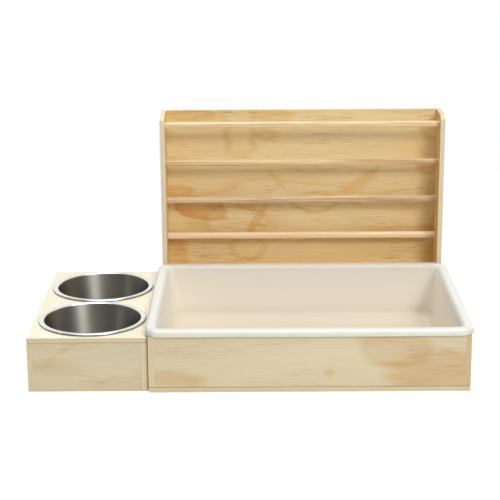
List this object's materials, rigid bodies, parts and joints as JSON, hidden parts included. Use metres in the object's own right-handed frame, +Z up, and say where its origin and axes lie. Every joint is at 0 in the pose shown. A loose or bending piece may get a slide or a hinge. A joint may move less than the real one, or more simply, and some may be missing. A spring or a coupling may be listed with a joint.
{
  "type": "hay feeder box",
  "caption": "Small-pet feeding station: plywood box with a lift-out litter tray, a slatted hay rack behind it, and a side box with lift-out steel bowls.",
  "frame": {"origin": "middle of the tray box's underside, on the floor", "axes": "+X to the right, away from the bowl box; +Y to the hay rack at the back; +Z up"},
  "size_m": [0.6655, 0.4347, 0.352],
  "materials": {
    "box_ply": "bare sanded pine plywood",
    "rack_ply": "bare sanded pine plywood, warmer veneer",
    "slat_pine": "bare planed pine",
    "tray_plastic": "moulded polypropylene, satin",
    "bowl_steel": "pressed stainless steel, satin inside and polished rim",
    "zinc_screw": "zinc-plated steel"
  },
  "bodies": {
    "feeder": {"tray_box_bottom": "box_ply", "tray_box_left": "box_ply", "tray_box_right": "box_ply", "tray_box_front": "box_ply", "tray_box_back": "box_ply", "rack_screws": "zinc_screw", "rack_left": "rack_ply", "rack_right": "rack_ply", "rack_back": "rack_ply", "rack_floor": "rack_ply", "hay_slat_1": "slat_pine", "hay_slat_2": "slat_pine", "hay_slat_3": "slat_pine", "hay_slat_4": "slat_pine"},
    "litter_tray": {"litter_tray": "tray_plastic"},
    "bowl_box": {"bowl_box_top": "box_ply", "bowl_box_left": "box_ply", "bowl_box_right": "box_ply", "bowl_box_front": "box_ply", "bowl_box_back": "box_ply"},
    "front_bowl": {"front_bowl": "bowl_steel"},
    "rear_bowl": {"rear_bowl": "bowl_steel"}
  },
  "joints": [
    {"name": "tray_lift", "type": "slide", "parent": "feeder", "child": "litter_tray", "axis": [0, 0, 1], "range_m": [0, 0.1]},
    {"name": "bowl_box_slide", "type": "slide", "parent": "feeder", "child": "bowl_box", "axis": [-1, 0, 0], "range_m": [0, 0.15]},
    {"name": "front_bowl_lift", "type": "slide", "parent": "bowl_box", "child": "front_bowl", "axis": [0, 0, 1], "range_m": [0, 0.08]},
    {"name": "rear_bowl_lift", "type": "slide", "parent": "bowl_box", "child": "rear_bowl", "axis": [0, 0, 1], "range_m": [0, 0.08]}
  ]
}
